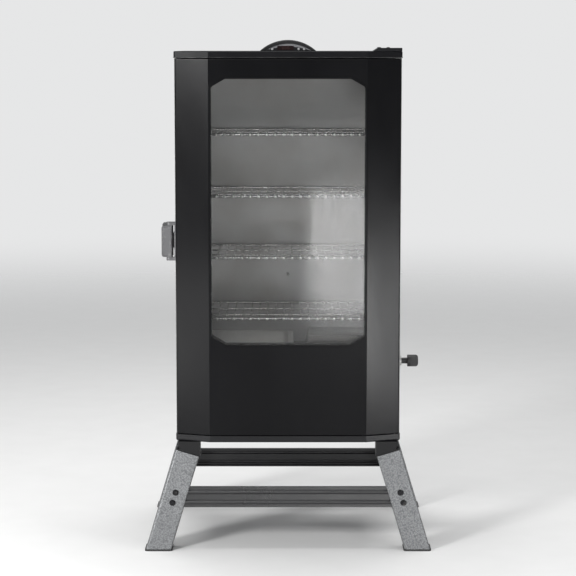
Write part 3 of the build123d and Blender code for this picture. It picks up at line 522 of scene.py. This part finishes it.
# %% The rack's tree
rack_tree, rack_in, rack_out = new_tree("rack_tree", {
    "Width": float, "Depth": float, "Corner": float, "Rod radius": float, "Wire radius": float,
    "Wire count": int, "Pitch": float, "Weld radius": float, "Nose radius": float, "Cross length": float,
    "Finish": bpy.types.Material,
})
size = rack_in.outputs


def tube(tree, path, radius, sides):
    ring = node(tree, "GeometryNodeCurvePrimitiveCircle", {"Radius": radius, "Resolution": sides})
    return node(tree, "GeometryNodeCurveToMesh", {
        "Curve": path, "Profile Curve": ring.outputs[0], "Fill Caps": True}).outputs[0]


def point(tree, x=0.0, y=0.0, z=0.0):
    return node(tree, "ShaderNodeCombineXYZ", {0: x, 1: y, 2: z}).outputs[0]


def row(tree, count, first, step):
    line = node(tree, "GeometryNodeMeshLine", {"Count": count, "Start Location": first, "Offset": step})
    return line.outputs[0]


def copies(tree, points, shape):
    return node(tree, "GeometryNodeInstanceOnPoints", {"Points": points, "Instance": shape}).outputs[0]


half_depth = math_of(rack_tree, "MULTIPLY", size["Depth"], 0.5)
back_half = math_of(rack_tree, "MULTIPLY", size["Depth"], -0.5)
border = node(rack_tree, "GeometryNodeCurvePrimitiveQuadrilateral", {
    "Width": size["Width"], "Height": size["Depth"]})
bent = node(rack_tree, "GeometryNodeFilletCurve", {
    "Curve": border.outputs[0], "Radius": size["Corner"], "Count": 6}, mode="POLY")
border_rod = tube(rack_tree, bent.outputs[0], size["Rod radius"], 14)
print("rack tree started with", len(rack_tree.nodes), "nodes")

# %% Wires, welds and noses
weld_rise, nose_forward, nose_drop = 0.0016, 0.0024, -0.0002
wire_path = node(rack_tree, "GeometryNodeCurvePrimitiveLine", {
    "Start": point(rack_tree, y=back_half), "End": point(rack_tree, y=half_depth)})
wire = tube(rack_tree, wire_path.outputs[0], size["Wire radius"], 10)
last_wire = math_of(rack_tree, "SUBTRACT", size["Wire count"], 1.0)
first_wire = math_of(rack_tree, "MULTIPLY", math_of(rack_tree, "MULTIPLY", last_wire, size["Pitch"]), -0.5)
step = point(rack_tree, x=size["Pitch"])
weld = node(rack_tree, "GeometryNodeMeshIcoSphere", {"Radius": size["Weld radius"], "Subdivisions": 2})
wire_row = row(rack_tree, size["Wire count"], point(rack_tree, x=first_wire), step)
weld_row = row(rack_tree, size["Wire count"], point(rack_tree, first_wire, half_depth, weld_rise), step)
nose = node(rack_tree, "GeometryNodeMeshIcoSphere", {"Radius": size["Nose radius"], "Subdivisions": 2})
nose_y = math_of(rack_tree, "SUBTRACT", back_half, nose_forward)
nose_row = row(rack_tree, size["Wire count"], point(rack_tree, first_wire, nose_y, nose_drop), step)
print("rack tree now has", len(rack_tree.nodes), "nodes")

# %% Cross rods
cross_radius, cross_drop, cross_inset = 0.0024, -0.0034, 0.2
half_cross = math_of(rack_tree, "MULTIPLY", size["Cross length"], 0.5)
cross_path = node(rack_tree, "GeometryNodeCurvePrimitiveLine", {
    "Start": point(rack_tree, x=math_of(rack_tree, "MULTIPLY", size["Cross length"], -0.5)),
    "End": point(rack_tree, x=half_cross)})
cross_rod = tube(rack_tree, cross_path.outputs[0], cross_radius, 10)
cross_step = math_of(rack_tree, "SUBTRACT", size["Depth"], cross_inset)
cross_start = point(rack_tree, y=math_of(rack_tree, "MULTIPLY", cross_step, -0.5), z=cross_drop)
cross_row = row(rack_tree, 2, cross_start, point(rack_tree, y=cross_step))
rack_parts = [border_rod, copies(rack_tree, wire_row, wire), copies(rack_tree, cross_row, cross_rod)]
rack_parts += [copies(rack_tree, weld_row, weld.outputs[0]), copies(rack_tree, nose_row, nose.outputs[0])]
close_tree(rack_tree, rack_out, rack_parts, size["Finish"])
print("rack tree has", len(rack_tree.nodes), "nodes")

# %% Four racks at their ledges
ROD = 0.003
for number in (1, 2, 3, 4):
    name = f"rack_{number}"
    low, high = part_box(name)
    rack = grow(name + "_wires", rack_tree, {
        "Width": high.x - low.x - 2 * ROD, "Depth": high.y - low.y - 2 * ROD, "Corner": 0.014,
        "Rod radius": ROD, "Wire radius": 0.0018, "Wire count": 22, "Pitch": 0.021, "Weld radius": 0.0027,
        "Nose radius": 0.0034, "Cross length": 0.443, "Finish": chrome_wire})
    rack.data.transform(Matrix.Translation(((low.x + high.x) / 2, (low.y + high.y) / 2, high.z - ROD)))
    settle(rack, name, "chrome_wire", name)
    print(name, "sits at z =", round(high.z - ROD, 3))

# %% [markdown]
# ## Pan-head screws
# Sheet-metal screws hold the rear panel, the loader's flange, the latch keeper and the element's cover.
# They could be copied by hand into every hole. One head is drawn with a cross recess instead, and a tree
# sets a copy at every hole, turned by a different amount, because nobody lines screws up.

# %% One screw head
def cross_head(radius, height, finish):
    arm, reach = radius * 0.13, radius * 0.56
    plus = [(reach, -arm), (reach, arm), (arm, arm), (arm, reach), (-arm, reach), (-arm, arm),
            (-reach, arm), (-reach, -arm), (-arm, -arm), (-arm, -reach), (arm, -reach), (arm, -arm)]
    turns = [math.atan2(y, x) for x, y in plus]
    shape = bmesh.new()
    rings = []
    for wide, level in ((1.0, 0.0), (1.0, 0.45), (0.93, 0.72), (0.80, 0.90), (0.66, 1.0)):
        there = radius * wide
        rings.append([shape.verts.new((
            there * math.cos(turn), there * math.sin(turn), height * level)) for turn in turns])
    rings.append([shape.verts.new((x, y, height)) for x, y in plus])
    rings.append([shape.verts.new((x * 0.8, y * 0.8, height * 0.35)) for x, y in plus])
    for lower, upper in zip(rings, rings[1:]):
        bridge(shape, lower, upper)
    shape.faces.new(rings[-1])
    shape.faces.new(rings[0][::-1])
    return as_piece(shape, "cross_head", finish)


screw_head = cross_head(0.0042, 0.0021, black_steel)
print("one head has", len(screw_head.data.polygons), "faces")

# %% The tree that sets fasteners
fastener_tree, fastener_in, fastener_out = new_tree("fastener_tree", {
    "Head": bpy.types.Object, "Scale": float, "Seed": int, "Finish": bpy.types.Material})
facing = node(fastener_tree, "GeometryNodeInputNamedAttribute", {"Name": "facing"}, data_type="FLOAT_VECTOR")
outward = node(fastener_tree, "FunctionNodeAlignRotationToVector", {"Vector": facing.outputs[0]}, axis="Z")
head_shape = node(fastener_tree, "GeometryNodeObjectInfo", {"Object": fastener_in.outputs["Head"]})
set_heads = node(fastener_tree, "GeometryNodeInstanceOnPoints", {
    "Points": fastener_in.outputs["Geometry"], "Instance": head_shape.outputs["Geometry"],
    "Rotation": outward.outputs[0], "Scale": fastener_in.outputs["Scale"]})
NO_TURN, FULL_TURN = (0.0, 0.0, 0.0), (0.0, 0.0, 6.283)
spin = node(fastener_tree, "FunctionNodeRandomValue", {
    0: NO_TURN, 1: FULL_TURN, "Seed": fastener_in.outputs["Seed"]}, data_type="FLOAT_VECTOR")
spun = node(fastener_tree, "GeometryNodeRotateInstances", {
    "Instances": set_heads.outputs[0], "Rotation": spin.outputs[0], "Local Space": True})
close_tree(fastener_tree, fastener_out, [spun.outputs[0]], fastener_in.outputs["Finish"])
print("fastener tree has", len(fastener_tree.nodes), "nodes")

# %% Screws in every hole
BACK, RIGHT, LEFT, UP = (0.0, 1.0, 0.0), (1.0, 0.0, 0.0), (-1.0, 0.0, 0.0), (0.0, 0.0, 1.0)
rear_face, cover_face = 0.2362, 0.2362 + 0.0012
flange_face, flange_y, flange_z, flange_circle = 0.280, -0.060, 0.446, 0.043
keeper_face, keeper_y = -0.281, -0.156
screw_points = [((x, rear_face, z), BACK) for x in (-0.262, 0.262) for z in (
    0.320, 0.492, 0.664, 0.836, 1.008, 1.180)]
screw_points += [((x, rear_face, z), BACK) for z in (0.300, 1.200) for x in (-0.150, 0.0, 0.150)]
screw_points += [((x, cover_face, z), BACK) for x in (0.057, 0.223) for z in (0.340, 0.396)]
for turn in (90, 210, 330):
    angle = math.radians(turn)
    hole_y = flange_y + flange_circle * math.cos(angle)
    hole_z = flange_z + flange_circle * math.sin(angle)
    screw_points.append(((flange_face, hole_y, hole_z), RIGHT))
screw_points += [((keeper_face, keeper_y, z), LEFT) for z in (0.750, 0.783)]
screws = grow("cross_head_screws", fastener_tree, {
    "Head": screw_head, "Scale": 1.0, "Seed": 7, "Finish": black_steel}, *zip(*screw_points))
settle(screws, "cabinet", "black_steel", "panel_screws")
print("set", len(screw_points), "screws")

# %% [markdown]
# ## Rivets on the hinge brackets
# The brackets are riveted to the cap and the base. A rivet's head is a shallow dome. Half a ready-made
# sphere would do, but its faces crowd at the pole, so it is turned from a short profile, and the same tree
# that sets the screws sets it too.

# %% Rivet heads
def dome_head(radius, height, sides, finish):
    shape = bmesh.new()
    rings = []
    for step_up in range(5):
        tilt = math.radians(step_up * 18)
        rings.append([shape.verts.new((
            radius * math.cos(tilt) * math.cos(i * math.tau / sides),
            radius * math.cos(tilt) * math.sin(i * math.tau / sides),
            height * math.sin(tilt))) for i in range(sides)])
    top = shape.verts.new((0.0, 0.0, height))
    for lower, upper in zip(rings, rings[1:]):
        bridge(shape, lower, upper)
    for i in range(sides):
        shape.faces.new((rings[-1][i], rings[-1][(i + 1) % sides], top))
    shape.faces.new(rings[0][::-1])
    return as_piece(shape, "dome_head", finish)


rivet_head = dome_head(0.0045, 0.0018, 18, black_steel)
bracket_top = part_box("hinge_brackets")[1].z
rivet_points = [((x, y, bracket_top), UP) for x, y in ((0.222, -0.170), (0.222, -0.205), (0.245, -0.170))]
rivets = grow("bracket_rivets", fastener_tree, {
    "Head": rivet_head, "Scale": 1.0, "Seed": 3, "Finish": black_steel}, *zip(*rivet_points))
settle(rivets, "cabinet", "black_steel")
print("rivets stand on z =", round(bracket_top, 4))

# %% [markdown]
# ## The latch's pressed face
# The lever is pulled by a pressed sheet face with rounded corners that hides its pivot. A bevelled box
# would round all its edges alike; here only the outline is rounded and the middle is pressed forward, so
# it is drawn as a stack of rounded outlines. It turns with the lever.

# %% Press the latch's face
def pressed_face(x_span, z_span, front, thickness, corner, finish):
    middle = ((x_span[0] + x_span[1]) / 2, (z_span[0] + z_span[1]) / 2)
    half = ((x_span[1] - x_span[0]) / 2, (z_span[1] - z_span[0]) / 2)
    shape = bmesh.new()
    rings = []
    for inset, depth in ((0.0, thickness), (0.0, 0.0004), (0.0006, 0.0), (0.0032, 0.0), (0.0044, 0.0007)):
        ring = []
        bend = corner - inset * 0.8
        for sx, sz, start in ((1, -1, -90), (1, 1, 0), (-1, 1, 90), (-1, -1, 180)):
            for i in range(6):
                turn = math.radians(start + i * 18)
                ring.append(shape.verts.new((
                    middle[0] + sx * (half[0] - inset - bend) + bend * math.cos(turn), front + depth,
                    middle[1] + sz * (half[1] - inset - bend) + bend * math.sin(turn))))
        rings.append(ring)
    for lower, upper in zip(rings, rings[1:]):
        bridge(shape, lower, upper)
    shape.faces.new(rings[-1])
    shape.faces.new(rings[0][::-1])
    return as_piece(shape, "latch_face", finish)


lever_low, lever_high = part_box("latch_lever")
face_across = (lever_low.x - 0.0004, lever_high.x - 0.0045)
face_up = (lever_low.z + 0.0005, lever_high.z - 0.0005)
latch_face = pressed_face(face_across, face_up, lever_low.y - 0.0018, 0.0017, 0.006, latch_grey)
scene.collection.objects.link(latch_face)
settle(latch_face, "latch_lever", "latch_grey")
print("latch lever spans", [round(v, 4) for v in (*lever_low, *lever_high)])

# %% [markdown]
# ## The rolled hem under the cap
# The top cap's lower edge is rolled over, and its bare rolled edge catches the light as a thin line above
# the door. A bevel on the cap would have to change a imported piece; the line follows the cap's outline, so
# it is a tube along a path: one more small tree.

# %% The hem's tree
hem_tree, hem_in, hem_out = new_tree("hem_tree", {
    "Radius": float, "Bend": float, "Finish": bpy.types.Material})
hem_path = node(hem_tree, "GeometryNodeMeshToCurve", {0: hem_in.outputs["Geometry"]})
hem_bend = node(hem_tree, "GeometryNodeFilletCurve", {
    "Curve": hem_path.outputs[0], "Radius": hem_in.outputs["Bend"], "Count": 4}, mode="POLY")
hem_tube = tube(hem_tree, hem_bend.outputs[0], hem_in.outputs["Radius"], 10)
close_tree(hem_tree, hem_out, [hem_tube], hem_in.outputs["Finish"])
print("hem tree has", len(hem_tree.nodes), "nodes")

# %% Roll the hem
cap_low, cap_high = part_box("top_cap")
hem_z = cap_low.z + 0.0009
side_back, side_front, front_half = 0.20, -0.2115, 0.1932
right_side = [(front_half, cap_low.y, hem_z), (cap_high.x, side_front, hem_z), (cap_high.x, side_back, hem_z)]
hem_corners = [(-x, y, z) for x, y, z in reversed(right_side)] + right_side
hem_edges = [(i, i + 1) for i in range(len(hem_corners) - 1)]
hem_steel = worn_steel("hem_steel", (0.035, 0.035, 0.036), light=(0.09, 0.09, 0.09), rough=0.34)
cap_hem = grow("cap_hem", hem_tree, {"Radius": 0.0010, "Bend": 0.004, "Finish": hem_steel}, hem_corners,
               edges=hem_edges)
settle(cap_hem, "cabinet", "galvanised")
print("hem runs at z =", round(hem_z, 4))

# %% [markdown]
# ## Marks on the pod
# The buttons carry plain marks: a ring with a stroke for power, and arrows for down and up. The display
# shows three unlit seven-stroke digits. Text objects or printed pictures could give them; each mark here
# is a flat outline given a thin body, so it stays sharp at any distance.

# %% Flat marks
INK = 0.0001


def marks(name, outlines, front, finish, body, slot):
    shape = bmesh.new()
    for outline in outlines:
        near = [shape.verts.new((x, front - INK, z)) for x, z in outline]
        far = [shape.verts.new((x, front, z)) for x, z in outline]
        shape.faces.new(near)
        shape.faces.new(far[::-1])
        bridge(shape, near, far)
    piece = as_piece(shape, name, finish)
    scene.collection.objects.link(piece)
    settle(piece, body, slot)
    print(name, "has", len(outlines), "strokes")


def bar(left, right, low, high):
    return [(left, low), (right, low), (right, high), (left, high)]


white_ink = grained("white_ink", (0.55, 0.55, 0.54), rough=0.5, grain=900.0, depth=0.00002, lift=1.15)
dim_red = grained("dim_red", (0.030, 0.004, 0.003), rough=0.3, grain=900.0, depth=0.00001, lift=1.4)
print("inks:", white_ink.name, dim_red.name)

# %% Arrows
def middle_of(name):
    low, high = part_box(name)
    return (low.x + high.x) / 2, (low.z + high.z) / 2


button_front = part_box("button_up")[0].y
arrow_half, arrow_tail, arrow_tip = 0.0014, 0.0009, 0.0014
up_x, up_z = middle_of("button_up")
up_arrow = [(up_x - arrow_half, up_z - arrow_tail), (up_x + arrow_half, up_z - arrow_tail),
            (up_x, up_z + arrow_tip)]
marks("mark_up", [up_arrow], button_front, white_ink, "button_up", "button_grey")
down_x, down_z = middle_of("button_down")
down_arrow = [(down_x, down_z - arrow_tip), (down_x + arrow_half, down_z + arrow_tail),
              (down_x - arrow_half, down_z + arrow_tail)]
marks("mark_down", [down_arrow], button_front, white_ink, "button_down", "button_grey")

# %% Power mark
power_x, power_z = middle_of("button_power")
ring_inner, ring_outer, ring_steps = 0.0013, 0.0017, 12


def on_ring(radius, turn):
    return power_x + radius * math.cos(turn), power_z + radius * math.sin(turn)


strokes = [bar(power_x - 0.0002, power_x + 0.0002, power_z, power_z + ring_outer)]
for i in range(ring_steps):
    start, end = [math.radians(120 + 300 * (i + part) / ring_steps) for part in (0, 1)]
    strokes.append([on_ring(ring_inner, start), on_ring(ring_outer, start),
                    on_ring(ring_outer, end), on_ring(ring_inner, end)])
marks("mark_power", strokes, button_front, white_ink, "button_power", "button_grey")

# %% Digits
lens_low, lens_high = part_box("display_lens")
digit_wide, digit_tall, digit_pitch, stroke_wide, stroke_gap = 0.0040, 0.0070, 0.0066, 0.0007, 0.0008
upright_step, upright_cut = 0.0002, 0.0014
digit_strokes = []
for place_number in range(3):
    left = (lens_low.x + lens_high.x) / 2 + (place_number - 1) * digit_pitch - digit_wide / 2
    base = (lens_low.z + lens_high.z) / 2 - digit_tall / 2
    for level in range(3):
        z = base + level * (digit_tall - stroke_wide) / 2
        digit_strokes.append(bar(left + stroke_gap, left + digit_wide - stroke_gap, z, z + stroke_wide))
    for x in (left, left + digit_wide - stroke_wide):
        for level in range(2):
            z = base + stroke_gap + level * (digit_tall / 2 - upright_step)
            digit_strokes.append(bar(x, x + stroke_wide, z, z + digit_tall / 2 - upright_cut))
marks("display_digits", digit_strokes, lens_low.y, dim_red, "cabinet", "display_red")

# %% [markdown]
# ## Louvres on the element's cover
# The cover over the heating element's terminals has to breathe, so it has a row of pressed louvres. Each is
# a quarter-round hood open downwards. A bump in the cover's finish would look flat from the side, so one
# hood is drawn and a small tree repeats it.

# %% One louvre
def louvre_hood(length, depth, height, finish):
    shape = bmesh.new()
    profile = [(0.0, height)] + [
        (depth * math.sin(math.radians(a)), height * math.cos(math.radians(a))) for a in (20, 40, 60, 80, 90)]
    outline = profile + [(y * 0.86, z * 0.86) for y, z in reversed(profile)]
    first, last = [[shape.verts.new((x, y, z)) for y, z in outline] for x in (-length / 2, length / 2)]
    count = len(outline)
    bridge(shape, first, last)
    for ring in (first, last):
        for i in range(len(profile) - 1):
            shape.faces.new((ring[i], ring[i + 1], ring[count - 2 - i], ring[count - 1 - i]))
    for side in (-1, 1):
        plate, back = [[shape.verts.new((side * (length / 2 + out), y, z)) for y, z in [(0.0, 0.0)] + profile]
                       for out in (0.0002, 0.0010)]
        shape.faces.new(plate)
        shape.faces.new(back[::-1])
        bridge(shape, plate, back)
    return as_piece(shape, "louvre_hood", finish)


hood = louvre_hood(0.020, 0.0028, 0.0045, cabinet_black)
print("one louvre has", len(hood.data.polygons), "faces")

# %% The louvres' row
cover_low, cover_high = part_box("element_cover")
louvre_tree, louvre_in, louvre_out = new_tree("louvre_tree", {
    "Hood": bpy.types.Object, "Columns": int, "Rows": int, "Across": float, "Down": float,
    "Finish": bpy.types.Material})
hood_shape = node(louvre_tree, "GeometryNodeObjectInfo", {"Object": louvre_in.outputs["Hood"]})
one_row = row(louvre_tree, louvre_in.outputs["Columns"], (0.0, 0.0, 0.0),
              point(louvre_tree, x=louvre_in.outputs["Across"]))
row_hoods = copies(louvre_tree, one_row, hood_shape.outputs["Geometry"])
down_line = row(louvre_tree, louvre_in.outputs["Rows"], (0.0, 0.0, 0.0),
                point(louvre_tree, z=louvre_in.outputs["Down"]))
close_tree(louvre_tree, louvre_out, [copies(louvre_tree, down_line, row_hoods)], louvre_in.outputs["Finish"])
louvres = grow("cover_louvres", louvre_tree, {
    "Hood": hood, "Columns": 3, "Rows": 5, "Across": 0.028, "Down": -0.013, "Finish": cabinet_black})
louvres.data.transform(Matrix.Translation((cover_low.x + 0.030, cover_high.y, cover_high.z - 0.022)))
settle(louvres, "cabinet", "cabinet_black")
print("louvres on the face at y =", round(cover_high.y, 4))

# %% [markdown]
# ## Floor and light
# A pale matt floor stands in for the ground. It could end in a curved backdrop, but that would show from
# other sides, so it is flat and fades away smoothly with distance.

# %% Floor
floor_mesh = bpy.data.meshes.new("floor")
floor_half, fade_start, fade_end = 40, 1.2, 8.5
floor_corners = [(x * floor_half, y * floor_half, 0) for x, y in ((-1, -1), (1, -1), (1, 1), (-1, 1))]
floor_mesh.from_pydata(floor_corners, [], [(0, 1, 2, 3)])
floor = bpy.data.objects.new("floor", floor_mesh)
scene.collection.objects.link(floor)
floor_finish, floor_tree, floor_shader = new_finish("floor_finish", Roughness=0.8)
grit = noise(floor_tree, place(floor_tree), 9.0, 6.0, 0.6)
feed(floor_tree, floor_shader, blend_colours(floor_tree, grit, (0.80, 0.797, 0.79), (0.86, 0.857, 0.85)),
     None, noise(floor_tree, place(floor_tree), 260.0), 0.0004, 0.15)
reach = node(floor_tree, "ShaderNodeVectorMath", {0: place(floor_tree)}, operation="LENGTH").outputs["Value"]
fade = spread(floor_tree, reach, fade_start, fade_end, 1.0, 0.0)
fade.node.interpolation_type = "SMOOTHERSTEP"
floor_tree.links.new(fade, floor_shader.inputs["Alpha"])
floor_mesh.materials.append(floor_finish)
print("floor laid at z = 0, fading out by", fade_end, "m")

# %% [markdown]
# ## Lamps
# Every lamp is a soft rectangle that the camera doesn't see. Black gloss shows little but reflections, so
# each lamp is placed where it mirrors in one place: a high one for the door's left angled side, low ones
# for the foot of both angled sides, one in front for the crossbars, one that reaches through the glass to
# the racks, and a wide one overhead for the cap and the floor. One big lamp would leave the sides flat.

# %% Lights
def soft_light(name, position, target, width, height, power):
    light = bpy.data.lights.new(name, "AREA")
    light.shape = "RECTANGLE"
    light.size, light.size_y, light.energy = width, height, power
    lamp = bpy.data.objects.new(name, light)
    scene.collection.objects.link(lamp)
    lamp.location = position
    lamp.visible_camera = False
    lamp.rotation_euler = (Vector(target) - Vector(position)).to_track_quat("-Z", "Y").to_euler()


soft_light("left_high", (-2.9, -3.5, 1.85), (0, 0, 1.2), 0.8, 0.9, 150)
soft_light("left_low", (-1.15, -1.05, 0.36), (-0.32, -0.24, 0.12), 0.75, 0.45, 5.0)
soft_light("right_low", (1.62, -1.91, 0.27), (0.25, -0.2, 0.5), 0.5, 0.46, 20)
soft_light("front_low", (0.60, -4.5, 0.22), (0.1, 0.2, 0.65), 1.0, 0.7, 14)
soft_light("through_glass", (-0.5, -4.6, 2.6), (0.05, 0.1, 0.6), 1.2, 0.8, 26)
soft_light("overhead", (0.0, 0.6, 4.2), (0, 0, 0.6), 3.2, 3.2, 122)

# %% [markdown]
# ## Room
# The room gives an even soft fill. What the camera sees behind the smoker is set a little brighter than
# the fill, so the pale floor runs into a pale background with no line between them. A picture of a studio
# could light it too, but an even colour can't tint the black paint.

# %% Even fill and a pale background
world = bpy.data.worlds.new("studio")
world.use_nodes = True
fill = world.node_tree.nodes["Background"]
fill.inputs[0].default_value = (0.96, 0.98, 1.0, 1.0)
fill.inputs[1].default_value = 0.30
backdrop = node(world.node_tree, "ShaderNodeBackground", {
    "Color": (0.99, 0.995, 1.0, 1.0), "Strength": 0.80})
seen = node(world.node_tree, "ShaderNodeLightPath").outputs["Is Camera Ray"]
sky = node(world.node_tree, "ShaderNodeMixShader", {0: seen, 1: fill.outputs[0], 2: backdrop.outputs[0]})
world.node_tree.links.new(sky.outputs[0], world.node_tree.nodes["World Output"].inputs["Surface"])
scene.world = world
scene.view_settings.view_transform = "Standard"
print("fill strength", fill.inputs[1].default_value)
